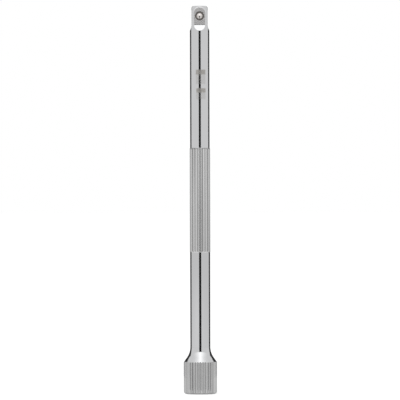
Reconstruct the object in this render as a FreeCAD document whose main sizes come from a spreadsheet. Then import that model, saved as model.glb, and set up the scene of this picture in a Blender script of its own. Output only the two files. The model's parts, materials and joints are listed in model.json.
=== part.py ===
"""Socket extension bar: a fluted steel bar with a male square at the top, which carries a
spring-loaded detent ball, and a female square in its flared lower end.

Frame: millimetres, +Z along the bar towards the male square, origin at the middle of the
socket end's flat base, detent ball facing -Y.
"""

import FreeCAD, Part

import os
import re

import Sketcher

SIZES = {
    # the whole bar
    "bar_length": 152.4,
    "shank_diameter": 7.66,
    # socket end, and the neck above it
    "socket_diameter": 13.2,
    "socket_length": 12.5,
    "rim_chamfer": 0.75,
    "neck_angle": 35.0,
    "neck_radius": 7.0,
    "lower_shank_step": 0.11,
    # grip band
    "grip_start": 55.6,
    "grip_length": 41.0,
    "grip_rise": 0.11,
    "grip_bevel": 0.3,
    # flutes
    "grip_flutes": 24,
    "socket_flutes": 40,
    "flute_radius": 0.4,
    "flute_depth": 0.22,
    # male square
    "drive_width": 6.3,
    "drive_length": 7.4,
    "runout_radius": 4.0,
    "nose_radius": 3.6,
    "nose_length": 2.6,
    "nose_edge_radius": 0.15,
    # female square
    "female_clearance": 0.1,
    "female_corner_radius": 0.4,
    "female_depth": 8.5,
    "mouth_margin": 0.17,
    "mouth_angle": 120.0,
    "relief_diameter": 6.0,
    "relief_depth": 2.0,
    "recess_slack": 0.1,
    # detent ball, and the bore that holds it
    "ball_diameter": 3.0,
    "ball_setback": 4.0,
    "ball_protrusion": 0.65,
    "ball_clearance": 0.05,
    "lip_gap": 0.09,
    "lip_depth": 0.45,
    "drill_angle": 118.0,
    "stake_gap": 0.1,
    "stake_width": 0.4,
    "stake_depth": 0.2,
    # detent spring
    "wire_diameter": 0.3,
    "spring_bore_gap": 0.3,
    "spring_seat_gap": 0.02,
    "closed_pitch": 0.31,
    "closed_turns": 1,
    "active_turns": 2,
    "spring_reserve": 0.35,
}

SHEET_LABEL = "Dimensions"
CUTTER_MARGIN = "1"  # how far a cutting outline stands clear of the metal, mm
FULL_TURN = 360.0

# radii and heights that follow from the sheet
SHANK_RADIUS = "(shank_diameter / 2)"
LOWER_SHANK_RADIUS = f"({SHANK_RADIUS} + lower_shank_step)"
GRIP_RADIUS = f"({LOWER_SHANK_RADIUS} + grip_rise)"
GRIP_END = "(grip_start + grip_length)"
SOCKET_RADIUS = "(socket_diameter / 2)"
NECK_ANGLE = "neck_angle * 1 deg"
CONE_TOP_RADIUS = f"({LOWER_SHANK_RADIUS} + neck_radius * (1 - cos({NECK_ANGLE})))"
CONE_TOP = f"(socket_length + ({SOCKET_RADIUS} - {CONE_TOP_RADIUS}) / tan({NECK_ANGLE}))"
NECK_TOP = f"({CONE_TOP} + neck_radius * sin({NECK_ANGLE}))"
NOSE_BASE = "(bar_length - nose_length)"
TIP_RADIUS = f"({SHANK_RADIUS} - nose_radius + sqrt(nose_radius ^ 2 - nose_length ^ 2))"

DRIVE_FACE = "(drive_width / 2)"
DRIVE_BASE = "(bar_length - drive_length)"

FEMALE_FACE = f"({DRIVE_FACE} + female_clearance)"
FEMALE_CORNER = f"({FEMALE_FACE} * sqrt(2) - female_corner_radius * (sqrt(2) - 1))"
MOUTH_RADIUS = f"({FEMALE_CORNER} + mouth_margin)"
RELIEF_RADIUS = "(relief_diameter / 2)"
RELIEF_BOTTOM = "(female_depth + relief_depth)"
HALF_DRILL_ANGLE = "(drill_angle / 2) * 1 deg"

BALL_RADIUS = "(ball_diameter / 2)"
BALL_HEIGHT = "(bar_length - ball_setback)"
BALL_OFFSET = f"({DRIVE_FACE} + ball_protrusion - {BALL_RADIUS})"  # from the bar's axis
BORE_RADIUS = f"({BALL_RADIUS} + ball_clearance)"
LIP_RADIUS = f"(sqrt({BALL_RADIUS} ^ 2 - ({BALL_RADIUS} - ball_protrusion) ^ 2) + lip_gap)"
STAKE_INNER = f"({LIP_RADIUS} + stake_gap)"

# The spring runs along +Y from the back of the ball to the bore's drilled end. Its length leaves
# room for the ball to be pushed flush, with a reserve before the coils close up.
WIRE_RADIUS = "(wire_diameter / 2)"
SPRING_RADIUS = f"({BORE_RADIUS} - spring_bore_gap - {WIRE_RADIUS})"
SOLID_REACH = "((2 * closed_turns + active_turns) * wire_diameter)"
SPRING_REACH = f"({SOLID_REACH} + spring_reserve + ball_protrusion)"
CLOSED_REACH = "(closed_turns * closed_pitch)"
ACTIVE_PITCH = f"(({SPRING_REACH} - 2 * {CLOSED_REACH}) / active_turns)"
BALL_CONTACT = (
    f"(sqrt(({BALL_RADIUS} + {WIRE_RADIUS} + spring_seat_gap) ^ 2 - {SPRING_RADIUS} ^ 2)"
    f" - {BALL_OFFSET})"
)
SPRING_SEAT = f"({BALL_CONTACT} + {SPRING_REACH})"
BORE_BOTTOM = (
    f"({SPRING_SEAT} - ({BORE_RADIUS} - {SPRING_RADIUS}) / tan({HALF_DRILL_ANGLE})"
    f" + ({WIRE_RADIUS} + spring_seat_gap) / sin({HALF_DRILL_ANGLE}))"
)

doc = FreeCAD.newDocument("extension_bar_model")
sheet = doc.addObject("Spreadsheet::Sheet", SHEET_LABEL)
for row, (alias, size) in enumerate(SIZES.items(), start=1):
    sheet.set(f"A{row}", alias.replace("_", " "))
    sheet.set(f"B{row}", str(size))
    sheet.setAlias(f"B{row}", alias)
doc.recompute()

alias_word = re.compile(r"\b(" + "|".join(SIZES) + r")\b")


def linked(formula):
    """A formula in the sheet's names, as an expression that a property can be bound to."""
    return alias_word.sub(SHEET_LABEL + r".\1", formula)


def value(formula):
    """What a formula in the sheet's names comes to."""
    return float(sheet.evalExpression(linked(formula)))


def bind(target, path, formula):
    """Bind one property of an object to a formula in the sheet's names."""
    target.setExpression(path, linked(formula))


def new_body(label):
    """An empty body, labelled as the node that it makes."""
    body = doc.addObject("PartDesign::Body", label)
    body.Label = label
    return body


def datum(body, role):
    """One of the body's own origin planes or axes."""
    return next(item for item in body.Origin.OriginFeatures if item.Role == role)


def new_sketch(body, plane, name):
    """An empty sketch on one of the body's origin planes."""
    sketch = body.newObject("Sketcher::SketchObject", name)
    sketch.AttachmentSupport = (datum(body, plane), [""])
    sketch.MapMode = "FlatFace"
    return sketch


def add_size(sketch, constraint, name, formula):
    """Add a constraint with a size, named, and bound to its formula."""
    sketch.addConstraint(constraint)
    sketch.renameConstraint(sketch.ConstraintCount - 1, name)
    bind(sketch, "Constraints." + name, formula)


def hold_point(sketch, edge, end, name, across, up):
    """Hold one point of an edge at its distances from the sketch's origin."""
    for letter, axis, formula in (("X", -2, across), ("Y", -1, up)):
        if formula == "0":
            sketch.addConstraint(Sketcher.Constraint("PointOnObject", edge, end, axis))
        else:
            distance = Sketcher.Constraint("Distance" + letter, -1, 1, edge, end, value(formula))
            add_size(sketch, distance, name + letter, formula)


def outline(body, plane, name, corners, arcs=None):
    """A closed sketch: corners are (across, up) pairs of formulas, in order round it.

    arcs gives the edges that are arcs, by the number of the corner that each starts at, with
    the formulas of its radius and of its centre's two distances.
    """
    arcs = arcs or {}
    sketch = new_sketch(body, plane, name)
    points = [FreeCAD.Vector(value(across), value(up), 0) for across, up in corners]
    starts = []
    for edge, here in enumerate(points):
        there = points[(edge + 1) % len(points)]
        if edge not in arcs:
            sketch.addGeometry(Part.LineSegment(here, there))
            starts.append(1)
            continue
        radius, *centre = arcs[edge]
        middle = FreeCAD.Vector(value(centre[0]), value(centre[1]), 0)
        crown = middle + ((here + there) / 2 - middle).normalize() * value(radius)
        # a sketch holds every arc anticlockwise, so the outline may enter one by its second end
        if (here - middle).cross(there - middle).z > 0:
            sketch.addGeometry(Part.Arc(here, crown, there))
            starts.append(1)
        else:
            sketch.addGeometry(Part.Arc(there, crown, here))
            starts.append(2)
    for edge, (across, up) in enumerate(corners):
        previous = edge - 1 if edge else len(corners) - 1
        previous_end = 3 - starts[previous]
        sketch.addConstraint(
            Sketcher.Constraint("Coincident", previous, previous_end, edge, starts[edge])
        )
        hold_point(sketch, edge, starts[edge], f"corner{edge}", across, up)
        if edge in arcs:
            radius = arcs[edge][0]
            size = Sketcher.Constraint("Radius", edge, value(radius))
            add_size(sketch, size, f"radius{edge}", radius)
    return sketch


def circle(body, plane, name, across, up, radius):
    """A sketch of one circle, its centre and radius given as formulas."""
    sketch = new_sketch(body, plane, name)
    centre = FreeCAD.Vector(value(across), value(up), 0)
    sketch.addGeometry(Part.Circle(centre, FreeCAD.Vector(0, 0, 1), value(radius)))
    hold_point(sketch, 0, 3, "centre", across, up)
    size = Sketcher.Constraint("Radius", 0, value(radius))
    add_size(sketch, size, "radius", radius)
    return sketch


def turn(body, kind, name, sketch, axis="V_Axis", axis_sketch=None):
    """Turn a sketch all the way round one of its axes, or an edge of another sketch."""
    feature = body.newObject("PartDesign::" + kind, name)
    feature.Profile = sketch
    feature.ReferenceAxis = (axis_sketch or sketch, [axis])
    feature.Angle = FULL_TURN
    return feature


def ring_of(body, name, feature, count):
    """Repeat a cut round the bar's axis."""
    pattern = body.newObject("PartDesign::PolarPattern", name)
    pattern.Originals = [feature]
    pattern.Axis = (datum(body, "Z_Axis"), [""])
    pattern.Angle = FULL_TURN
    bind(pattern, "Occurrences", count)
    body.Tip = pattern


def turn_blank(body):
    """The bar before any cut: socket end, neck, shanks, grip band and nose, one revolution."""
    corners = [
        ("0", "0"),
        (f"{SOCKET_RADIUS} - rim_chamfer", "0"),
        (SOCKET_RADIUS, "rim_chamfer"),
        (SOCKET_RADIUS, "socket_length"),
        (CONE_TOP_RADIUS, CONE_TOP),
        (LOWER_SHANK_RADIUS, NECK_TOP),
        (LOWER_SHANK_RADIUS, "grip_start"),
        (GRIP_RADIUS, "grip_start + grip_bevel"),
        (GRIP_RADIUS, f"{GRIP_END} - grip_bevel"),
        (SHANK_RADIUS, GRIP_END),
        (SHANK_RADIUS, NOSE_BASE),
        (TIP_RADIUS, "bar_length"),
        ("0", "bar_length"),
    ]
    neck = corners.index((CONE_TOP_RADIUS, CONE_TOP))
    nose = corners.index((SHANK_RADIUS, NOSE_BASE))
    arcs = {
        neck: ("neck_radius", f"{LOWER_SHANK_RADIUS} + neck_radius", NECK_TOP),
        nose: ("nose_radius", f"{SHANK_RADIUS} - nose_radius", NOSE_BASE),
    }
    blank = turn(body, "Revolution", "blank", outline(body, "XZ_Plane", "blank_profile", corners, arcs))
    doc.recompute()
    tip_edge = next(
        number
        for number, edge in enumerate(blank.Shape.Edges, start=1)
        if edge.BoundBox.ZMin > value("bar_length") - 1e-6
    )
    nose_edge = body.newObject("PartDesign::Fillet", "nose_edge")
    nose_edge.Base = (blank, [f"Edge{tip_edge}"])
    bind(nose_edge, "Radius", "nose_edge_radius")


def cut_drive_flats(body):
    """The four flats of the male square, each with its concave run-out into the shank."""
    top = f"bar_length + {CUTTER_MARGIN}"
    far_side = f"{DRIVE_FACE} + runout_radius"
    corners = [
        (DRIVE_FACE, top),
        (DRIVE_FACE, DRIVE_BASE),
        (far_side, f"{DRIVE_BASE} - runout_radius"),
        (far_side, top),
    ]
    arcs = {1: ("runout_radius", far_side, DRIVE_BASE)}
    flat = body.newObject("PartDesign::Pocket", "drive_flat")
    flat.Profile = outline(body, "XZ_Plane", "drive_flat_profile", corners, arcs)
    flat.SideType = "Symmetric"
    bind(flat, "Length", "socket_diameter")
    ring_of(body, "drive_flats", flat, "4")


def cut_ball_bore(body):
    """The blind bore behind the detent ball, its staked lip, and the ring left by the stake."""
    mouth = f"0 - {DRIVE_FACE}"
    outside = f"{mouth} - {CUTTER_MARGIN}"
    corners = [
        (outside, BALL_HEIGHT),
        (f"{BORE_BOTTOM} + {BORE_RADIUS} / tan({HALF_DRILL_ANGLE})", BALL_HEIGHT),
        (BORE_BOTTOM, f"{BALL_HEIGHT} + {BORE_RADIUS}"),
        (f"{mouth} + lip_depth", f"{BALL_HEIGHT} + {BORE_RADIUS}"),
        (mouth, f"{BALL_HEIGHT} + {LIP_RADIUS}"),
        (outside, f"{BALL_HEIGHT} + {LIP_RADIUS}"),
    ]
    bore_profile = outline(body, "YZ_Plane", "ball_bore_profile", corners)
    turn(body, "Groove", "ball_bore", bore_profile, "Edge1")
    inner = f"{BALL_HEIGHT} + {STAKE_INNER}"
    outer = f"{inner} + stake_width"
    corners = [
        (outside, inner),
        (mouth, inner),
        (f"{mouth} + stake_depth", f"{inner} + stake_width / 2"),
        (mouth, outer),
        (outside, outer),
    ]
    stake_profile = outline(body, "YZ_Plane", "stake_ring_profile", corners)
    turn(body, "Groove", "stake_ring", stake_profile, "Edge1", bore_profile)


def cut_female_square(body):
    """The female square with its countersunk mouth, drilled relief and ball recess."""
    face = FEMALE_FACE
    inset = f"{face} - female_corner_radius"
    corners = []
    arcs = {}
    for side_x, side_y in ((1, 1), (-1, 1), (-1, -1), (1, -1)):
        upright_end = (f"{side_x} * {face}", f"{side_y} * ({inset})")
        level_end = (f"{side_x} * ({inset})", f"{side_y} * {face}")
        turning_left = side_x * side_y > 0
        arcs[len(corners)] = ("female_corner_radius", level_end[0], upright_end[1])
        corners += [upright_end, level_end] if turning_left else [level_end, upright_end]
    square = body.newObject("PartDesign::Pocket", "female_square")
    square.Profile = outline(body, "XY_Plane", "female_square_profile", corners, arcs)
    square.Reversed = True
    bind(square, "Length", "female_depth")
    relief = [
        ("0", "0"),
        (RELIEF_RADIUS, "0"),
        (RELIEF_RADIUS, RELIEF_BOTTOM),
        ("0", f"{RELIEF_BOTTOM} + {RELIEF_RADIUS} / tan({HALF_DRILL_ANGLE})"),
    ]
    turn(body, "Groove", "relief_bore", outline(body, "XZ_Plane", "relief_profile", relief))
    mouth = [
        ("0", "0"),
        (MOUTH_RADIUS, "0"),
        ("0", f"{MOUTH_RADIUS} / tan(mouth_angle / 2 * 1 deg)"),
    ]
    turn(body, "Groove", "mouth", outline(body, "XZ_Plane", "mouth_profile", mouth))
    recess_height = "drive_length - ball_setback"
    recess_radius = f"{BALL_RADIUS} + recess_slack"
    recess = circle(body, "XZ_Plane", "recess_profile", BALL_OFFSET, recess_height, recess_radius)
    turn(body, "Groove", "ball_recess", recess)


def cut_socket_flutes(body):
    """Straight round-bottomed flutes along the socket end, running out in the cone above it."""
    axis_radius = f"{SOCKET_RADIUS} + flute_radius - flute_depth"
    flute = body.newObject("PartDesign::Pocket", "socket_flute")
    flute.Profile = circle(body, "XY_Plane", "socket_flute_profile", axis_radius, "0", "flute_radius")
    flute.Reversed = True
    bind(flute, "Length", f"socket_length + flute_depth / tan({NECK_ANGLE}) + {CUTTER_MARGIN}")
    ring_of(body, "socket_flute_ring", flute, "socket_flutes")


def cut_grip_flutes(body):
    """Round-ended flutes along the grip band."""
    axis_radius = f"{GRIP_RADIUS} + flute_radius - flute_depth"
    root_radius = f"{GRIP_RADIUS} - flute_depth"
    corners = [
        (axis_radius, GRIP_END),
        (axis_radius, "grip_start"),
        (root_radius, "grip_start + flute_radius"),
        (root_radius, f"{GRIP_END} - flute_radius"),
    ]
    arcs = {
        1: ("flute_radius", axis_radius, "grip_start + flute_radius"),
        3: ("flute_radius", axis_radius, f"{GRIP_END} - flute_radius"),
    }
    profile = outline(body, "XZ_Plane", "grip_flute_profile", corners, arcs)
    flute = turn(body, "Groove", "grip_flute", profile, "Edge1")
    ring_of(body, "grip_flute_ring", flute, "grip_flutes")


def make_extension_bar():
    """The one-piece steel bar."""
    body = new_body("extension_bar")
    turn_blank(body)
    cut_drive_flats(body)
    cut_ball_bore(body)
    cut_female_square(body)
    cut_socket_flutes(body)
    cut_grip_flutes(body)
    return body


def make_detent_ball():
    """The steel ball, proud of the front flat and held in by the staked lip."""
    ball = doc.addObject("Part::Sphere", "detent_ball")
    ball.Label = "detent_ball"
    bind(ball, "Radius", BALL_RADIUS)
    bind(ball, "Placement.Base.y", f"0 - {BALL_OFFSET}")
    bind(ball, "Placement.Base.z", BALL_HEIGHT)
    return ball


def make_detent_spring():
    """The coil spring from the bore's drilled end to the back of the ball.

    It is wound along its own Z, which points at the ball: a closed turn, the active turns, and
    a closed turn against the ball.
    """
    body = new_body("detent_spring")
    stretches = [
        ("seat_turn", "0", "closed_pitch", "closed_turns"),
        ("active_coil", CLOSED_REACH, ACTIVE_PITCH, "active_turns"),
        ("ball_turn", f"{SPRING_REACH} - {CLOSED_REACH}", "closed_pitch", "closed_turns"),
    ]
    for name, start, pitch, turns in stretches:
        wire = circle(body, "XZ_Plane", name + "_wire", SPRING_RADIUS, start, WIRE_RADIUS)
        coil = body.newObject("PartDesign::AdditiveHelix", name)
        coil.Profile = wire
        coil.ReferenceAxis = (wire, ["V_Axis"])
        coil.Mode = "pitch-turns-angle"
        bind(coil, "Pitch", pitch)
        bind(coil, "Turns", turns)
    body.Placement = FreeCAD.Placement(
        FreeCAD.Vector(0, value(SPRING_SEAT), value(BALL_HEIGHT)),
        FreeCAD.Rotation(FreeCAD.Vector(1, 0, 0), 90),
    )
    bind(body, "Placement.Base.y", SPRING_SEAT)
    bind(body, "Placement.Base.z", BALL_HEIGHT)
    return body


nodes = [make_extension_bar(), make_detent_ball(), make_detent_spring()]
doc.recompute()

failed = [item.Label for item in doc.Objects if {"Invalid", "Error"} & set(item.State)]
if failed:
    raise RuntimeError("these did not build: " + ", ".join(failed))
for node in nodes:
    if node.Shape.isNull() or not node.Shape.isValid() or len(node.Shape.Solids) != 1:
        raise RuntimeError(f"{node.Label} is not one sound solid")

os.makedirs("parts", exist_ok=True)
for node in nodes:
    node.Shape.exportStep(os.path.join("parts", node.Label + ".step"))
    print(f"{node.Label}: {node.Shape.Volume:.4f} mm3")
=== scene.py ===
# A socket extension bar: the chrome bar, the ball in its male square and the spring behind the ball.
# Metres throughout. +Z runs up the bar from its socket end, and the ball faces -Y.
import json
import math

import bpy
import numpy as np
from mathutils import Matrix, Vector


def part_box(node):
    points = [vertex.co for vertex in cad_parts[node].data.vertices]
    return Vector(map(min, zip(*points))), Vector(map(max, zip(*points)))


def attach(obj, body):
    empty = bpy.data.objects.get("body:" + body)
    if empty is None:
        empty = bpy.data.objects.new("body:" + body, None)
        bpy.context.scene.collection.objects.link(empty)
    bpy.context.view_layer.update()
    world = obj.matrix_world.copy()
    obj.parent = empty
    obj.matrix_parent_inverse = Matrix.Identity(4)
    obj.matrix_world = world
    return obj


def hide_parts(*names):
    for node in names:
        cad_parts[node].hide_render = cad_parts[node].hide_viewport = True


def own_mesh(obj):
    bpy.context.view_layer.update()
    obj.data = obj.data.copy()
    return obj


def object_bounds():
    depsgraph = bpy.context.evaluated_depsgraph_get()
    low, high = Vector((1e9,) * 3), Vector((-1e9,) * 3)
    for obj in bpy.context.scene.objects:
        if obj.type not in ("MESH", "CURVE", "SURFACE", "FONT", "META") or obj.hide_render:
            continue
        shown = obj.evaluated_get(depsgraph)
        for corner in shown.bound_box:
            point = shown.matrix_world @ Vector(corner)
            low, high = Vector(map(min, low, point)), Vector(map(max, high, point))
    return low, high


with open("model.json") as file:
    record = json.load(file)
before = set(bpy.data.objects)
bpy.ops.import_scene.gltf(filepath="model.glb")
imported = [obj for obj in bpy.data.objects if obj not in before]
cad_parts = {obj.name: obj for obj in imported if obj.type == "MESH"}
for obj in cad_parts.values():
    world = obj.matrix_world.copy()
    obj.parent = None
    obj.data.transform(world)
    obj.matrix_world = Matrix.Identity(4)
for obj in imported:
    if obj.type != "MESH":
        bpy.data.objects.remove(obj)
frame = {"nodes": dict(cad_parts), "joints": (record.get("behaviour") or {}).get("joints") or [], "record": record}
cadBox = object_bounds()
print("frame loaded:", ", ".join(sorted(frame["nodes"])))

mm = 0.001
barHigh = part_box("extension_bar")[1]
ballLow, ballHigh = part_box("detent_ball")
springLow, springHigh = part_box("detent_spring")
mounts = {mount["name"]: mount for mount in frame["record"]["mounts"]}
ballHeight = (ballLow.z + ballHigh.z) / 2
slide = next(joint for joint in frame["joints"] if joint["name"] == "ball_slide")


def straight(start, end, count):
    # points evenly spaced on a line: start + share * (end - start)
    share = np.linspace(0, 1, count)[:, None]
    return np.array(start) + share * (np.array(end) - np.array(start))


def arc(centre, radius, start, end, count):
    # points on an arc: centre + radius * (cos, sin) of evenly spaced angles in degrees
    angle = np.radians(np.linspace(start, end, count))
    return np.stack([centre[0] + radius * np.cos(angle), centre[1] + radius * np.sin(angle)], 1)


def fillet(before, corner, after, radius, count):
    # arc touching both lines that meet at a corner: its centre lies on the line that halves the angle
    before, corner, after = (np.array(point, float) for point in (before, corner, after))
    back = (before - corner) / np.linalg.norm(before - corner)
    on = (after - corner) / np.linalg.norm(after - corner)
    half = math.acos(float(back @ on)) / 2
    centre = corner + (back + on) / np.linalg.norm(back + on) * radius / math.sin(half)
    first, last = (corner + way * radius / math.tan(half) - centre for way in (back, on))
    start = math.degrees(math.atan2(first[1], first[0]))
    turn = (math.degrees(math.atan2(last[1], last[0])) - start + 180) % 360 - 180
    return arc(centre, radius, start, start + turn, count)


def softMin(a, b, softness):
    # the smaller of two, less softness / 4 * h^2 where h = 1 - |a - b| / softness: a rounded edge
    nearness = np.maximum(softness - np.abs(a - b), 0) / softness
    return np.minimum(a, b) - softness / 4 * nearness * nearness


def softMax(a, b, softness):
    # the larger of two, with the edge between them rounded
    return -softMin(-a, -b, softness)


def heightRows(stretches):
    # heights evenly spaced over each stretch of (first, last, how many), given in millimetres
    return np.concatenate([np.linspace(*stretch) for stretch in stretches]) * mm


def makePiece(name, points, faces, material, body):
    # faces is a list of index arrays, each with one row for a face
    mesh = bpy.data.meshes.new(name)
    corners = np.concatenate([group.ravel() for group in faces])
    sides = np.concatenate([np.full(len(group), group.shape[1]) for group in faces])
    mesh.vertices.add(len(points))
    mesh.vertices.foreach_set("co", np.ascontiguousarray(points, np.float32).ravel())
    mesh.loops.add(len(corners))
    mesh.loops.foreach_set("vertex_index", corners.astype(np.int32))
    mesh.polygons.add(len(sides))
    mesh.polygons.foreach_set("loop_start", (np.cumsum(sides) - sides).astype(np.int32))
    mesh.update(calc_edges=True)
    mesh.validate()
    mesh.shade_smooth()
    mesh.materials.append(material)
    piece = bpy.data.objects.new(name, mesh)
    bpy.context.scene.collection.objects.link(piece)
    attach(piece, body)
    print(f"{name}: {int(np.sum(sides - 2))} triangles")
    return piece


def ringQuads(rows, columns, first=0):
    # quads between neighbouring rows of a grid whose last column joins its first
    row = np.arange(rows - 1)[:, None] * columns + first
    column = np.arange(columns)[None, :]
    beside = (column + 1) % columns
    quads = np.stack([row + column, row + beside, row + beside + columns, row + column + columns], -1)
    return quads.reshape(-1, 4)


def poleFan(ring, pole, atStart):
    # triangles from one ring of points to the pole that closes it
    beside = np.roll(ring, -1)
    tips = np.full(len(ring), pole)
    return np.stack([tips, beside, ring] if atStart else [ring, beside, tips], 1)


class Wire:
    # one output socket of a finish, so that sums on wires add Math nodes
    def __init__(self, finish, socket):
        self.finish = finish
        self.socket = socket

    def apply(self, operation, *values):
        return self.finish.maths(operation, self, *values)

    def other(self, name):
        return Wire(self.finish, self.socket.node.outputs[name])

    def __add__(self, value):
        return self.finish.maths("ADD", self, value)

    def __radd__(self, value):
        return self.finish.maths("ADD", value, self)

    def __sub__(self, value):
        return self.finish.maths("SUBTRACT", self, value)

    def __rsub__(self, value):
        return self.finish.maths("SUBTRACT", value, self)

    def __mul__(self, value):
        return self.finish.maths("MULTIPLY", self, value)

    def __rmul__(self, value):
        return self.finish.maths("MULTIPLY", value, self)


class Finish:
    # the node tree of one material, or of the world
    def __init__(self, owner):
        owner.use_nodes = True
        self.owner = owner
        self.tree = owner.node_tree
        self.tree.nodes.clear()

    def add(self, kind, settings=None, sockets=None, output=0):
        node = self.tree.nodes.new("ShaderNode" + kind)
        for name, setting in (settings or {}).items():
            setattr(node, name, setting)
        for name, value in (sockets or {}).items():
            if isinstance(value, Wire):
                self.tree.links.new(value.socket, node.inputs[name])
            else:
                node.inputs[name].default_value = value
        return Wire(self, node.outputs[output]) if len(node.outputs) else node

    def maths(self, operation, *values):
        return self.add("Math", {"operation": operation}, dict(enumerate(values)))

    def place(self):
        return self.add("TexCoord", output="Object")

    def parts(self, vector):
        first = self.add("SeparateXYZ", sockets={0: vector})
        return first, first.other("Y"), first.other("Z")

    def rise(self, value, low, high):
        # 0 below low, 1 above high, smooth between
        sockets = {0: value, 1: low, 2: high, 3: 0.0, 4: 1.0}
        return self.add("MapRange", {"interpolation_type": "SMOOTHSTEP"}, sockets)

    def between(self, value, low, high, soft):
        # 1 from low to high and 0 outside, with soft either side of each end
        above = self.rise(value, low - soft, low + soft)
        return above * (1 - self.rise(value, high - soft, high + soft))

    def noise(self, vector, size, stretch=(1, 1, 1), detail=2.0):
        # cloudy pattern whose features are about size across, drawn out by stretch along each axis
        scale = tuple(1 / (size * part) for part in stretch)
        moved = self.add("Mapping", sockets={"Vector": vector, "Scale": scale})
        return self.add("TexNoise", sockets={"Vector": moved, "Scale": 1.0, "Detail": detail})

    def blend(self, share, first, second):
        # colour mix: first where share is 0, second where it is 1
        return self.add("Mix", {"data_type": "RGBA"}, {0: share, 6: first, 7: second}, output=2)

    def darken(self, share, colour, least):
        # colour times 1 where share is 0, down to colour times least where it is 1
        settings = {"data_type": "RGBA", "blend_type": "MULTIPLY"}
        return self.add("Mix", settings, {0: share, 6: colour, 7: shade(least)}, output=2)

    def metal(self, colour, roughness, bump=None, bumpDepth=0.0):
        sockets = {"Base Color": colour, "Metallic": 1.0, "Roughness": roughness}
        if bump is not None:
            heights = {"Height": bump, "Strength": 1.0, "Distance": bumpDepth}
            sockets["Normal"] = self.add("Bump", sockets=heights)
        surface = self.add("BsdfPrincipled", sockets=sockets)
        self.add("OutputMaterial", sockets={"Surface": surface})
        return self.owner


def shade(value, tint=(1.0, 1.0, 1.0)):
    return (value * tint[0], value * tint[1], value * tint[2], 1.0)


bar = {
    "columns": 480,  # a whole number of columns to every flute and every flat
    "length": barHigh.z,
    "socketRadius": 6.6 * mm,
    "socketLength": 12.5 * mm,
    "chamfer": 0.75 * mm,
    "neckAngle": 35,
    "neckRadius": 7 * mm,
    "lowerRadius": 3.94 * mm,
    "gripRadius": 4.05 * mm,
    "gripStart": 55.6 * mm,
    "gripEnd": 96.6 * mm,
    "gripBevel": 0.3 * mm,
    "upperRadius": mounts["shank_seat"]["dims"]["r_mm"] * mm,
    "driveFace": 3.15 * mm,
    "driveLength": 7.4 * mm,
    "runout": 4 * mm,
    "noseLength": 2.6 * mm,
    "noseRadius": 3.6 * mm,
    "tipEdge": 0.15 * mm,
    "fluteRadius": 0.4 * mm,
    "fluteDepth": 0.22 * mm,
    "socketFlutes": 40,
    "gripFlutes": 24,
    "edge": 0.09 * mm,
    "fluteEdge": 0.05 * mm,
    "hold": 0.08 * mm,  # how close a row stands to the end of each round stretch
    "mouthEdge": 0.18 * mm,
    "softEdge": 0.3 * mm,
    "neckEdge": 0.08 * mm,
    "fluteRise": 1.3 * mm,  # how far up the neck a flute may still cut
    "noseSteps": (4, 12, 5, 8),
    "squareSteps": 12,
    "leastGap": 0.012 * mm,
    "patchGap": 0.1 * mm,
    "sharpAngle": 38,
    "extraRows": (  # close rows where flutes and flats begin and end: first and last height, how many
        (0.45, 0.72, 3),
        (12.56, 12.86, 6),
        (55.62, 56.05, 8),
        (96.15, 96.58, 8),
        (142.45, 145.15, 25),
    ),
}

drive = {
    "face": 3.25 * mm,
    "corner": 0.4 * mm,
    "depth": 8.5 * mm,
    "mouthRadius": 4.6005 * mm,
    "mouthSlope": math.tan(math.radians(60)),
    "reliefRadius": 3.0 * mm,
    "reliefEnd": 10.5 * mm,
    "drillSlope": math.tan(math.radians(59)),
    "recessCentre": 2.3 * mm,
    "recessRadius": 1.6 * mm,
    "recessHeight": 3.4 * mm,
    "edge": 0.06 * mm,
    "tipRows": (0.5, 1.7, 2.9, 3.0),
    "reliefRows": (10.42, 8.6, 8.5),
    "ledgeShares": (0.08, 0.92, 1.0),
    "wallRows": (
        (8.4, 8.4, 1),
        (6.5, 6.5, 1),
        (4.85, 4.85, 1),
        (4.72, 2.08, 12),
        (1.7, 0.85, 4),
        (0.74, 0.04, 8),
        (0.0, 0.0, 1),
    ),
}

bore = {
    "radius": 1.55 * mm,
    "lipRadius": 1.3259 * mm,
    "lipDepth": 0.45 * mm,
    "stakeRadius": 1.626 * mm,
    "stakeWidth": 0.4 * mm,
    "stakeDepth": 0.2 * mm,
    "bottom": 1.0844 * mm,
    "drillEnd": 2.0157 * mm,
    "patchColumns": 42,  # columns of the bar each side of the ball that its own rings take over
    "patchReach": 1.95 * mm,
    "lipEdge": 0.03 * mm,
    "underEdge": 0.1 * mm,
    "wallStart": 0.7 * mm,
    "endEdge": 0.05 * mm,
    "grooveSteps": 9,
    "endSteps": 5,
    "easeRings": 3,  # rings between the grid and the groove's outer circle
}


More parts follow.
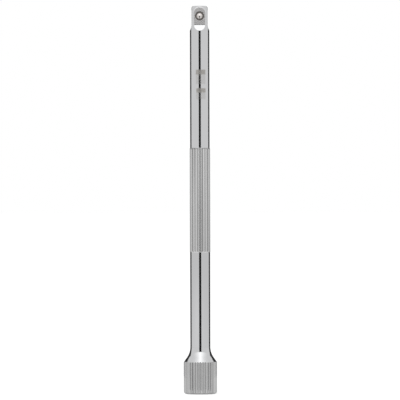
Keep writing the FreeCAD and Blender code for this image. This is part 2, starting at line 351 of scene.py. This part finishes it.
chrome = {
    "polished": shade(0.575, (0.995, 1.0, 1.012)),
    "satin": shade(0.650, (1.0, 1.0, 1.0)),
    "socketSatin": shade(0.570, (1.0, 1.0, 1.0)),
    "flat": shade(0.460, (1.0, 0.99, 0.99)),
    "grooveShade": shade(0.255, (1.03, 0.97, 0.92)),  # painted shade in the staked groove round the ball
    "dull": shade(0.420, (1.0, 0.985, 0.96)),  # inside the socket, where little plate reaches
    "etched": shade(0.335, (1.03, 0.99, 0.93)),
    "polishedRoughness": 0.045,
    "fluteRoughness": 0.09,
    "squareRoughness": 0.14,
    "flatRoughness": 0.43,
    "dullRoughness": 0.42,
    "etchedRoughness": 0.42,
    "cloudRoughness": 0.03,
    "lineRoughness": 0.02,
    "grainRoughness": 0.08,
    "grainSize": 0.25 * mm,
    "cloudSize": 6 * mm,
    "streakSize": 1.3 * mm,
    "lineSize": 0.22 * mm,
    "streakRise": (0.44, 0.62),
    "hollowShadeAndDirt": 0.5,  # how much each kind of wear, and the painted shade in the flute hollows, darkens the plate
    "streakWear": 0.30,
    "bevelWear": 0.55,
    "lineWear": 0.02,
    "cloudWear": 0.05,
    "darkest": 0.45,
    "frostedLeast": 0.45,
    "frostedGrain": 0.9,
    "flatBump": 0.5,
    "bumpDepth": 0.004 * mm,
}

# where each finish fades in or out: heights up the bar, or distances from its axis
squareFoot = bar["length"] - bar["driveLength"]
zones = {
    "flutesTop": (bar["socketLength"] - 0.05 * mm, bar["socketLength"] + 0.25 * mm),
    "fluteShell": (5.9 * mm, 6.2 * mm),
    "grip": (bar["gripStart"] + 0.1 * mm, bar["gripEnd"]),
    "gripSoft": 0.1 * mm,
    "bevel": (bar["gripEnd"] - 0.4 * mm, bar["gripEnd"] + 0.05 * mm),
    "bevelSoft": 0.06 * mm,
    "square": (squareFoot - 0.1 * mm, squareFoot + 0.3 * mm),
    "flatFoot": (squareFoot - 0.15 * mm, squareFoot + 0.05 * mm),
    "flatFace": (bar["driveFace"] - 0.04 * mm, bar["driveFace"] - 0.01 * mm),
    "stake": (1.74 * mm, 1.86 * mm),
    "stakeFront": (0.0, 1.0 * mm),
    "insideTop": (12.3 * mm, 12.4 * mm),
    "insideShell": (4.5 * mm, 4.7 * mm),
    "gripHollow": (bar["gripRadius"] - 0.21 * mm, bar["gripRadius"] - 0.07 * mm),
    "socketHollow": (bar["socketRadius"] - 0.21 * mm, bar["socketRadius"] - 0.07 * mm),
    "frostedFront": (-1.5 * mm, -1.0 * mm),
    "frostedSoft": 0.18 * mm,
}

# frosted panels on the upper shank: middle across, middle up, width, height, how strong
frostedPanels = [
    (0.35 * mm, 126.35 * mm, 3.7 * mm, 1.9 * mm, 1.0),
    (0.35 * mm, 124.40 * mm, 3.7 * mm, 5.4 * mm, 0.30),
    (0.45 * mm, 119.15 * mm, 3.6 * mm, 1.7 * mm, 1.0),
    (0.45 * mm, 117.80 * mm, 3.6 * mm, 4.2 * mm, 0.30),
]


def frostedShare(finish, x, y, z, grain):
    # on the front only: 1 inside a panel and 0 outside it, times its strength, broken up by the grain
    frosted = None
    soft = zones["frostedSoft"]
    for across, middle, width, height, strength in frostedPanels:
        panel = finish.between(x, across - width / 2, across + width / 2, soft)
        panel = panel * finish.between(z, middle - height / 2, middle + height / 2, soft) * strength
        frosted = panel if frosted is None else frosted.apply("MAXIMUM", panel)
    broken = chrome["frostedLeast"] + chrome["frostedGrain"] * grain
    frosted = frosted * (1 - finish.rise(y, *zones["frostedFront"])) * broken
    return frosted.apply("MINIMUM", 1.0)


def chromeFinish():
    finish = Finish(bpy.data.materials.new("bar_chrome"))
    place = finish.place()
    x, y, z = finish.parts(place)
    radius = (x * x + y * y).apply("SQRT")
    onFlutes = (1 - finish.rise(z, *zones["flutesTop"])) * finish.rise(radius, *zones["fluteShell"])
    onGrip = finish.between(z, *zones["grip"], zones["gripSoft"])
    onBevel = finish.between(z, *zones["bevel"], zones["bevelSoft"])
    onSquare = finish.rise(z, *zones["square"])
    flatness = x.apply("ABSOLUTE").apply("MAXIMUM", y.apply("ABSOLUTE"))
    onFlat = finish.rise(z, *zones["flatFoot"]) * finish.rise(flatness, *zones["flatFace"])
    up = z - ballHeight
    fromBall = (x * x + up * up).apply("SQRT")
    # the staked groove round the ball, where painted shade darkens the plate
    aroundBall = 1 - finish.rise(fromBall, *zones["stake"])
    aroundBall = aroundBall * (1 - finish.rise(y, *zones["stakeFront"]))
    inside = (1 - finish.rise(z, *zones["insideTop"])) * (1 - finish.rise(radius, *zones["insideShell"]))
    grain = finish.noise(place, chrome["grainSize"], detail=4.0)
    frosted = frostedShare(finish, x, y, z, grain)
    clouds = finish.noise(place, chrome["cloudSize"], (1, 1, 3))
    wideLines = finish.noise(place, chrome["streakSize"], (1, 1, 60), 2.0)
    streaks = finish.rise(wideLines, *chrome["streakRise"])
    lines = finish.noise(place, chrome["lineSize"], (1, 1, 40))
    satin = onFlutes.apply("MAXIMUM", onGrip)
    colour = chrome["polished"]
    for zone, name in (
        (onGrip, "satin"),
        (onFlutes, "socketSatin"),
        (onFlat, "flat"),
        (inside, "dull"),
        (aroundBall, "grooveShade"),
        (frosted, "etched"),
    ):
        colour = finish.blend(zone, colour, chrome[name])
    # painted shade, with some dirt, darkening the bottoms of the grip and socket flutes
    hollow = onGrip * (1 - finish.rise(radius, *zones["gripHollow"]))
    hollow = hollow.apply("MAXIMUM", onFlutes * (1 - finish.rise(radius, *zones["socketHollow"])))
    shadeAndWear = chrome["hollowShadeAndDirt"] * hollow + satin * streaks * chrome["streakWear"]
    shadeAndWear = shadeAndWear + chrome["bevelWear"] * onBevel
    shadeAndWear = shadeAndWear + chrome["lineWear"] * lines + chrome["cloudWear"] * clouds
    colour = finish.darken(shadeAndWear, colour, chrome["darkest"])
    roughness = chrome["polishedRoughness"] + chrome["cloudRoughness"] * clouds
    roughness = roughness + chrome["lineRoughness"] * lines
    for zone, name in (
        (onFlutes, "flute"),
        (onGrip, "flute"),
        (onBevel, "flat"),
        (onSquare, "square"),
        (onFlat, "flat"),
        (aroundBall, "flat"),
        (inside, "dull"),
        (frosted, "etched"),
    ):
        grained = chrome[name + "Roughness"] + chrome["grainRoughness"] * (grain - 0.5)
        roughness = roughness + zone * (grained - roughness)
    rough = (inside + frosted + chrome["flatBump"] * onFlat).apply("MINIMUM", 1.0)
    return finish.metal(colour, roughness, grain * rough, chrome["bumpDepth"])


def noseRows():
    # the nose: an arc of noseRadius about a centre inside the bar, then a small arc into the end face
    middle = (bar["upperRadius"] - bar["noseRadius"], bar["length"] - bar["noseLength"])
    inner = bar["noseRadius"] - bar["tipEdge"]
    rise = bar["noseLength"] - bar["tipEdge"]
    lowSteps, highSteps, edgeSteps, faceSteps = bar["noseSteps"]
    turn = math.degrees(math.asin(rise / inner))
    edgeCentre = (middle[0] + math.sqrt(inner**2 - rise**2), bar["length"] - bar["tipEdge"])
    patchTurn = math.degrees(math.asin((patchTop() - middle[1]) / bar["noseRadius"]))
    low = arc(middle, bar["noseRadius"], 0, patchTurn, lowSteps)
    high = arc(middle, bar["noseRadius"], patchTurn, turn, highSteps)[1:]
    edge = arc(edgeCentre, bar["tipEdge"], turn, 90, edgeSteps)[1:]
    face = straight(edge[-1], (0, bar["length"]), faceSteps)[1:-1]
    return np.concatenate([low, high, edge, face])


def patchTop():
    # the height where the ball's own rings end, above the ball; patchFoot is the one below it
    return ballHeight + bore["patchReach"]


def patchFoot():
    return ballHeight - bore["patchReach"]


def outsideRows():
    # half section of the blank from the bottom face up to the nose, with arcs at its corners
    slope = math.tan(math.radians(bar["neckAngle"]))
    coneEnd = bar["socketLength"] + (bar["socketRadius"] - bar["lowerRadius"]) / slope
    soft = bar["softEdge"]
    # each corner: radius, height, radius of its arc, points on it
    corners = [
        (drive["mouthRadius"], 0, 0, 1),
        (bar["socketRadius"] - bar["chamfer"], 0, bar["mouthEdge"], 4),
        (bar["socketRadius"], bar["chamfer"], soft, 5),
        (bar["socketRadius"], bar["socketLength"], bar["neckEdge"], 3),
        (bar["lowerRadius"], coneEnd, bar["neckRadius"], 20),
        (bar["lowerRadius"], bar["gripStart"], soft, 3),
        (bar["gripRadius"], bar["gripStart"] + bar["gripBevel"], soft, 3),
        (bar["gripRadius"], bar["gripEnd"] - bar["gripBevel"], soft, 3),
        (bar["upperRadius"], bar["gripEnd"], soft, 3),
        (bar["upperRadius"], bar["length"] - bar["noseLength"], 0, 1),
    ]
    rows = [np.array([corners[0][:2]])]
    for before, corner, after in zip(corners, corners[1:], corners[2:]):
        rows.append(fillet(before[:2], corner[:2], after[:2], corner[2], corner[3]))
    rows.append(np.array([corners[-1][:2]]))
    held = [rows[0]]
    for this, following in zip(rows, rows[1:]):
        gap = following[0] - this[-1]
        length = np.linalg.norm(gap)
        if length > 4 * bar["hold"]:
            step = gap / length * bar["hold"]
            held.append(np.stack([this[-1] + step, following[0] - step]))
        held.append(following)
    return np.concatenate(held)


def addHeights(rows, heights):
    # more rows on the blank at these heights, each with the radius that the section has there
    upright = rows[:, 1] > 0
    radii = np.interp(heights, rows[upright, 1], rows[upright, 0])
    merged = np.concatenate([rows[upright], np.stack([radii, heights], 1)])
    merged = merged[np.argsort(merged[:, 1], kind="stable")]
    apart = np.diff(merged[:, 1], prepend=-1) > bar["leastGap"]
    return np.concatenate([rows[~upright], merged[apart]])


def driveReach(z, theta):
    # distance from the axis to the nearest flat; below the square the flat curves out on an arc
    base = bar["length"] - bar["driveLength"]
    drop = np.clip(base - z, 0, bar["runout"])
    out = bar["runout"] - np.sqrt(bar["runout"] ** 2 - drop**2)
    return (bar["driveFace"] + out) / np.maximum(np.abs(np.cos(theta)), np.abs(np.sin(theta)))


def fluteReach(theta, count, crest, cutter):
    # where a ray from the axis enters the round cutter of the nearest flute:
    # a cos d - sqrt(c^2 - a^2 sin^2 d), with the cutter c wide at a from the axis, and d off the ray
    step = 2 * math.pi / count
    offset = (theta + step / 2) % step - step / 2
    axis = crest + bar["fluteRadius"] - bar["fluteDepth"]
    under = cutter**2 - (axis * np.sin(offset)) ** 2
    return np.where(under > 0, axis * np.cos(offset) - np.sqrt(np.maximum(under, 0)), 2 * axis)


def cutOutside(r, z, theta):
    # the blank's radius, brought in wherever a flat or a flute comes nearer the axis
    r = softMin(r, driveReach(z, theta), bar["edge"])
    cutter = np.full_like(z, bar["fluteRadius"])
    flute = fluteReach(theta, bar["socketFlutes"], bar["socketRadius"], cutter)
    r = np.where(z < bar["socketLength"] + bar["fluteRise"], softMin(r, flute, bar["fluteEdge"]), r)
    lowEnd = bar["gripStart"] + bar["fluteRadius"]
    highEnd = bar["gripEnd"] - bar["fluteRadius"]
    past = np.maximum(np.maximum(lowEnd - z, z - highEnd), 0)
    cutter = np.sqrt(np.maximum(bar["fluteRadius"] ** 2 - past**2, 0))
    flute = fluteReach(theta, bar["gripFlutes"], bar["gripRadius"], cutter)
    return np.where(past < bar["fluteRadius"], softMin(r, flute, bar["fluteEdge"]), r)


def socketReach(z, theta):
    # the female square in polar form, opened by the mouth's cone and the ring-shaped ball recess
    near = np.maximum(np.abs(np.cos(theta)), np.abs(np.sin(theta)))
    far = np.minimum(np.abs(np.cos(theta)), np.abs(np.sin(theta)))
    inset = drive["face"] - drive["corner"]
    along = inset * (near + far)
    curved = along + np.sqrt(np.maximum(along**2 - 2 * inset**2 + drive["corner"] ** 2, 0))
    wall = np.where(drive["face"] / near * far > inset, curved, drive["face"] / near)
    wall = softMax(wall, drive["mouthRadius"] - z * drive["mouthSlope"], drive["edge"])
    above = (z - drive["recessHeight"]) / drive["recessRadius"]
    recess = drive["recessCentre"] + drive["recessRadius"] * np.sqrt(np.maximum(1 - above**2, 0))
    return softMax(wall, np.where(np.abs(above) < 1, recess, 0), drive["edge"])


def insideRows():
    # radius, height, and share of the way from that radius to the square wall
    tip = drive["reliefEnd"] + drive["reliefRadius"] / drive["drillSlope"]
    radii = np.array(drive["tipRows"]) * mm
    cone = np.stack([radii, tip - radii / drive["drillSlope"], 0 * radii], 1)
    upright = np.array(drive["reliefRows"]) * mm
    relief = np.stack([0 * upright + drive["reliefRadius"], upright, 0 * upright], 1)
    shares = np.array(drive["ledgeShares"])
    ledge = np.stack([0 * shares + drive["reliefRadius"], 0 * shares + drive["depth"], shares], 1)
    heights = heightRows(drive["wallRows"])
    wall = np.stack([0 * heights + drive["reliefRadius"], heights, 0 * heights + 1], 1)
    return np.concatenate([cone, relief, ledge, wall]), tip


def boreRows():
    # section of the ball's bore as (distance from its axis, y): stake groove, lip, wall, drilled end
    face = -bar["driveFace"]
    half = bore["stakeWidth"] / 2
    share = np.linspace(1, -1, bore["grooveSteps"])
    dip = bore["stakeDepth"] * np.cos(share * math.pi / 2) ** 2
    groove = np.stack([bore["stakeRadius"] + share * half, face + dip], 1)
    lipFoot = (bore["radius"], face + bore["lipDepth"])
    wallFoot = (bore["radius"], bore["bottom"])
    lip = fillet(groove[-1], (bore["lipRadius"], face), lipFoot, bore["lipEdge"], 4)
    under = fillet(lip[-1], lipFoot, wallFoot, bore["underEdge"], 3)
    wallEnd = (bore["radius"], bore["bottom"] - bore["endEdge"])
    wall = straight((bore["radius"], face + bore["wallStart"]), wallEnd, 2)
    end = straight(wallFoot, (0, bore["drillEnd"]), bore["endSteps"])[:-1]
    return np.concatenate([groove, lip, under, wall, end])


def borePatch(loop, points, firstFree):
    # rings from a closed loop of grid points on the front flat to the groove, then down the bore
    edge = points[loop]
    angle = np.arctan2(edge[:, 2] - ballHeight, edge[:, 0])
    section = boreRows()
    rings = np.stack([
        section[:, :1] * np.cos(angle),
        np.repeat(section[:, 1:], len(angle), 1),
        ballHeight + section[:, :1] * np.sin(angle),
    ], -1)
    share = np.linspace(0, 1, bore["easeRings"] + 2)[1:-1, None, None]
    ease = edge + share * (rings[0] - edge)
    rings = np.concatenate([ease, rings])
    pole = np.array([[0, bore["drillEnd"], ballHeight]])
    added = np.concatenate([rings.reshape(-1, 3), pole])
    count = len(loop)
    beside = np.roll(loop, -1)
    inner = firstFree + np.arange(count)
    seam = np.stack([loop, beside, np.roll(inner, -1), inner], 1)
    quads = np.concatenate([seam, ringQuads(len(rings), count, firstFree)])
    lastRing = firstFree + (len(rings) - 1) * count + np.arange(count)
    return added, quads, poleFan(lastRing, firstFree + len(rings) * count, False)


def makeBar():
    # one closed surface of rings about the axis, each point at radius(theta, row) * (cos, sin) of theta:
    # from the relief's drilled tip, out of the mouth, up the bar and over the nose
    columns = bar["columns"]
    theta = np.arange(columns)[None, :] * 2 * math.pi / columns
    inner, tip = insideRows()
    wall = socketReach(inner[:, 1:2], theta)
    innerRadius = inner[:, :1] + inner[:, 2:] * (wall - inner[:, :1])
    blank = addHeights(outsideRows(), heightRows(bar["extraRows"]))
    noseFoot = bar["length"] - bar["noseLength"]
    squareLow = (bar["upperRadius"], patchFoot())
    square = straight(squareLow, (bar["upperRadius"], noseFoot), bar["squareSteps"])[:-1]
    below = blank[1:][blank[1:, 1] < patchFoot() - bar["patchGap"]]
    outer = np.concatenate([below, square, noseRows()])
    outerRadius = cutOutside(outer[:, :1] + 0 * theta, outer[:, 1:] + 0 * theta, theta)
    radius = np.concatenate([innerRadius, outerRadius])
    height = np.concatenate([inner[:, 1:2], outer[:, 1:2]]) + 0 * theta
    rows = len(radius)
    grid = np.stack([radius * np.cos(theta), radius * np.sin(theta), height], -1)
    points = grid.reshape(-1, 3)
    quads = ringQuads(rows, columns).reshape(rows - 1, columns, 4)
    front = columns * 3 // 4
    left, right = front - bore["patchColumns"], front + bore["patchColumns"]
    isOutside = np.arange(rows) >= len(inner)
    foot = int(np.argmin(np.where(isOutside, np.abs(height[:, 0] - patchFoot()), 1)))
    top = int(np.argmin(np.where(isOutside, np.abs(height[:, 0] - patchTop()), 1)))
    index = np.arange(rows * columns).reshape(rows, columns)
    loop = np.concatenate([
        index[foot, left:right],
        index[foot:top, right],
        index[top, right:left:-1],
        index[top:foot:-1, left],
    ])
    kept = np.ones((rows - 1, columns), bool)
    kept[foot:top, left:right] = False
    used = np.ones(len(points), bool)
    used[index[foot + 1:top, left + 1:right].ravel()] = False
    added, patchQuads, patchTip = borePatch(loop, points, len(points))
    points = np.concatenate([points, added, [[0, 0, tip], [0, 0, bar["length"]]]])
    used = np.concatenate([used, np.ones(len(points) - len(used), bool)])
    fans = [
        poleFan(index[0], len(points) - 2, True),
        poleFan(index[-1], len(points) - 1, False),
        patchTip,
    ]
    number = np.cumsum(used) - 1
    faces = [number[quads[kept]], number[patchQuads], number[np.concatenate(fans)]]
    piece = makePiece("barBody", points[used], faces, chromeFinish(), "bar")
    piece.data.set_sharp_from_angle(angle=math.radians(bar["sharpAngle"]))
    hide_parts("extension_bar")
    return piece


ball = {
    "radius": (ballHigh.x - ballLow.x) / 2,
    "centre": (ballLow + ballHigh) / 2,
    "rows": 48,
    "columns": 96,
    "bright": shade(0.58, (1.03, 0.985, 0.96)),
    "dim": shade(0.50, (1.04, 0.98, 0.94)),
    "roughness": 0.12,
    "cloudRoughness": 0.05,
    "scuffRoughness": 0.12,
    "cloudSize": 0.8 * mm,
    "scuffSize": 0.12 * mm,
    "scuffRise": (0.56, 0.68),
}


def ballFinish():
    finish = Finish(bpy.data.materials.new("ball_steel"))
    place = finish.place()
    clouds = finish.noise(place, ball["cloudSize"])
    scratches = finish.noise(place, ball["scuffSize"], (6, 1, 1), 3.0)
    scuffs = finish.rise(scratches, *ball["scuffRise"])
    colour = finish.blend(clouds, ball["bright"], ball["dim"])
    roughness = ball["roughness"] + ball["cloudRoughness"] * clouds + ball["scuffRoughness"] * scuffs
    return finish.metal(colour, roughness)


def makeBall():
    # a sphere with its poles on Y: centre + radius * (sin a cos t, -cos a, sin a sin t)
    fromPole = np.linspace(0, math.pi, ball["rows"])[1:-1, None]
    around = np.arange(ball["columns"])[None, :] * 2 * math.pi / ball["columns"]
    ways = np.stack([
        np.sin(fromPole) * np.cos(around),
        -np.cos(fromPole) + 0 * around,
        np.sin(fromPole) * np.sin(around),
    ], -1).reshape(-1, 3)
    ways = np.concatenate([ways, [[0, -1, 0], [0, 1, 0]]])
    rows = ball["rows"] - 2
    quads = ringQuads(rows, ball["columns"])[:, ::-1]
    ring = np.arange(ball["columns"])
    fans = [
        poleFan(ring, rows * ball["columns"], True)[:, ::-1],
        poleFan(ring + (rows - 1) * ball["columns"], rows * ball["columns"] + 1, False)[:, ::-1],
    ]
    points = np.array(ball["centre"]) + ball["radius"] * ways
    faces = [quads, np.concatenate(fans)]
    piece = makePiece("detentBall", points, faces, ballFinish(), "ball")
    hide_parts("detent_ball")
    return piece


spring = {
    "wire": 0.15 * mm,
    "closedPitch": 0.31 * mm,
    "closedTurns": 1,
    "activeTurns": 2,
    "stepsPerTurn": 48,
    "sides": 20,
    "endEdge": 0.04 * mm,
    "fixedEnd": 1.31 * mm,
    "sharpAngle": 50,
    "bright": shade(0.42, (1.0, 0.98, 0.95)),
    "dim": shade(0.30, (1.0, 0.97, 0.92)),
    "roughness": 0.26,
    "drawnRoughness": 0.16,
    "cloudSize": 0.5 * mm,
    "drawnSize": 0.03 * mm,
    "bumpDepth": 0.002 * mm,
}


def springFinish():
    finish = Finish(bpy.data.materials.new("spring_wire"))
    place = finish.place()
    clouds = finish.noise(place, spring["cloudSize"])
    drawn = finish.noise(place, spring["drawnSize"], (1, 6, 1), 3.0)
    colour = finish.blend(clouds, spring["bright"], spring["dim"])
    roughness = spring["roughness"] + spring["drawnRoughness"] * drawn
    return finish.metal(colour, roughness, drawn, spring["bumpDepth"])


def makeSpring():
    # wire round a helix about Y, at middle + width * (cos a * outward + sin a * sideways):
    # the middle line's y falls slowly on the closed turns and fast between them
    coil = (springHigh.x - springLow.x) / 2 - spring["wire"]
    seat = springHigh.y - spring["wire"]
    reach = springHigh.y - springLow.y - 2 * spring["wire"]
    turns = 2 * spring["closedTurns"] + spring["activeTurns"]
    closed = spring["closedTurns"] * spring["closedPitch"]
    turn = np.linspace(0, turns, turns * spring["stepsPerTurn"] + 1)
    marks = [0, spring["closedTurns"], turns - spring["closedTurns"], turns]
    fall = np.interp(turn, marks, [0, closed, reach - closed, reach])
    angle = 2 * math.pi * turn
    middle = np.stack([coil * np.cos(angle), seat - fall, ballHeight + coil * np.sin(angle)], 1)
    ahead = np.gradient(middle, axis=0)
    ahead /= np.linalg.norm(ahead, axis=1)[:, None]
    outward = np.stack([np.cos(angle), 0 * angle, np.sin(angle)], 1)
    sideways = np.cross(ahead, outward)
    width = np.full(len(turn), spring["wire"])
    width[[0, -1]] -= spring["endEdge"]
    middle[1] = middle[0] + ahead[0] * spring["endEdge"]
    middle[-2] = middle[-1] - ahead[-1] * spring["endEdge"]
    side = np.arange(spring["sides"])[None, :, None] * 2 * math.pi / spring["sides"]
    aroundWire = np.cos(side) * outward[:, None] + np.sin(side) * sideways[:, None]
    rings = middle[:, None] + width[:, None, None] * aroundWire
    points = np.concatenate([rings.reshape(-1, 3), middle[:1], middle[-1:]])
    ring = np.arange(spring["sides"])
    lastRing = ring + (len(turn) - 1) * spring["sides"]
    fans = [poleFan(ring, len(points) - 2, True), poleFan(lastRing, len(points) - 1, False)]
    faces = [ringQuads(len(turn), spring["sides"]), np.concatenate(fans)]
    piece = makePiece("detentSpring", points, faces, springFinish(), "bar")
    piece.data.set_sharp_from_angle(angle=math.radians(spring["sharpAngle"]))
    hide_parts("detent_spring")
    travel = slide["range_m"][1]
    keep = 1 - travel / (spring["fixedEnd"] - springLow.y)
    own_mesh(piece)
    return piece


makeBar()
makeBall()
makeSpring()
print("pieces made")


# a white world, a pale floor, a soft lamp, and screens that only reflections see
studio = {
    "ambient": 0.70,  # what the world sends to the floor
    "white": 1.0,  # what the camera and reflections see
    "floorColour": 0.50,
    "floorGlow": 0.68,  # more light from the floor towards the camera
    "floorShine": 0.52,  # and towards a reflection
    "lampPower": 10.0,
    "lampSize": 1.3,
    "lampPlace": (-0.5, -0.9, 1.5),
    "floorHalf": 20.0,
    "screenSteps": 24,
    "screenFade": 1.7,
}

# azimuths in degrees from the camera's side, foot and head as (distance, height), brightness
screens = {
    "frontGap": (-12.3, 12.3, (0.04, 0.0), (0.32, 0.19), 0.02),
    "frontTopBox": (-95, 95, (0.325, 0.195), (0.12, 0.60), 1.9),
    "leftFlag": (-165, -117, (0.15, 0.0), (0.9, 0.55), 0.05),
    "rightFlag": (117, 165, (0.15, 0.0), (0.9, 0.55), 0.05),
}


def seenDirectly(finish):
    # 1 for rays from the camera, a reflection or glass, 0 for the rest
    first = finish.add("LightPath", output="Is Camera Ray")
    seen = first.apply("MAXIMUM", first.other("Is Glossy Ray"))
    return seen.apply("MAXIMUM", first.other("Is Transmission Ray"))


def makeWorld():
    world = bpy.data.worlds.new("studio")
    bpy.context.scene.world = world
    finish = Finish(world)
    strength = studio["ambient"] + seenDirectly(finish) * (studio["white"] - studio["ambient"])
    light = finish.add("Background", sockets={"Color": shade(1.0), "Strength": strength})
    finish.add("OutputWorld", sockets={"Surface": light})


def makeFloor():
    finish = Finish(bpy.data.materials.new("paleFloor"))
    matt = finish.add("BsdfDiffuse", sockets={"Color": shade(studio["floorColour"])})
    toCamera = finish.add("LightPath", output="Is Camera Ray")
    strength = seenDirectly(finish) * studio["floorShine"]
    strength = strength + toCamera * (studio["floorGlow"] - studio["floorShine"])
    glow = finish.add("Emission", sockets={"Color": shade(1.0), "Strength": strength})
    lit = finish.add("AddShader", sockets={0: matt, 1: glow})
    below = finish.add("NewGeometry", output="Backfacing")
    clear = finish.add("BsdfTransparent")
    surface = finish.add("MixShader", sockets={0: below, 1: lit, 2: clear})
    finish.add("OutputMaterial", sockets={"Surface": surface})
    half = studio["floorHalf"]
    mesh = bpy.data.meshes.new("floor")
    corners = [(-half, -half, 0), (half, -half, 0), (half, half, 0), (-half, half, 0)]
    mesh.from_pydata(corners, [], [(0, 1, 2, 3)])
    mesh.materials.append(finish.owner)
    floor = bpy.data.objects.new("floor", mesh)
    bpy.context.scene.collection.objects.link(floor)


def makeScreen(name, start, end, foot, head, brightness):
    # part of a cone about the bar: azimuth across, and distance and height running from foot to head
    finish = Finish(bpy.data.materials.new(name))
    sockets = {"Color": shade(1.0), "Strength": brightness}
    if brightness > 1:
        # a lit panel fades towards its two sides, down to the white of the world
        x, y = finish.parts(finish.place())[:2]
        off = x.apply("ARCTAN2", 0 - y).apply("ABSOLUTE")
        share = (1 - off * (1 / math.radians(end))).apply("MAXIMUM", 0.0)
        share = share.apply("POWER", studio["screenFade"])
        sockets["Color"] = finish.blend(share, shade(1 / brightness), shade(1.0))
    glow = finish.add("Emission", sockets=sockets)
    finish.add("OutputMaterial", sockets={"Surface": glow})
    steps = studio["screenSteps"]
    azimuth = np.radians(np.linspace(start, end, steps + 1))
    rows = [
        np.stack([distance * np.sin(azimuth), -distance * np.cos(azimuth), 0 * azimuth + height], 1)
        for distance, height in (foot, head)
    ]
    quads = [(i, i + 1, i + steps + 2, i + steps + 1) for i in range(steps)]
    mesh = bpy.data.meshes.new(name)
    mesh.from_pydata(np.concatenate(rows).tolist(), [], quads)
    mesh.materials.append(finish.owner)
    screen = bpy.data.objects.new(name, mesh)
    bpy.context.scene.collection.objects.link(screen)
    screen.visible_camera = False
    screen.visible_diffuse = False
    screen.visible_shadow = False


def makeLamp():
    lamp = bpy.data.lights.new("softLamp", "AREA")
    lamp.energy = studio["lampPower"]
    lamp.size = studio["lampSize"]
    holder = bpy.data.objects.new("softLamp", lamp)
    bpy.context.scene.collection.objects.link(holder)
    holder.location = studio["lampPlace"]
    holder.rotation_euler = (-holder.location).to_track_quat("-Z", "Y").to_euler()
    holder.visible_camera = False
    holder.visible_glossy = False


makeWorld()
makeFloor()
for name, facts in screens.items():
    makeScreen(name, *facts)
makeLamp()

view = {
    "distance": 1.5,
    "lens": 343.5,
    "roll": 0.14,
}


def makeCamera():
    camera = bpy.data.cameras.new("camera")
    camera.lens = view["lens"]
    holder = bpy.data.objects.new("camera", camera)
    bpy.context.scene.collection.objects.link(holder)
    place = Matrix.Translation((0, -view["distance"], (cadBox[0].z + cadBox[1].z) / 2))
    upright = Matrix.Rotation(math.radians(90), 4, "X")
    holder.matrix_world = place @ upright @ Matrix.Rotation(math.radians(-view["roll"]), 4, "Z")
    bpy.context.scene.camera = holder


makeCamera()
bpy.context.scene.view_settings.view_transform = "Standard"
print("studio ready")
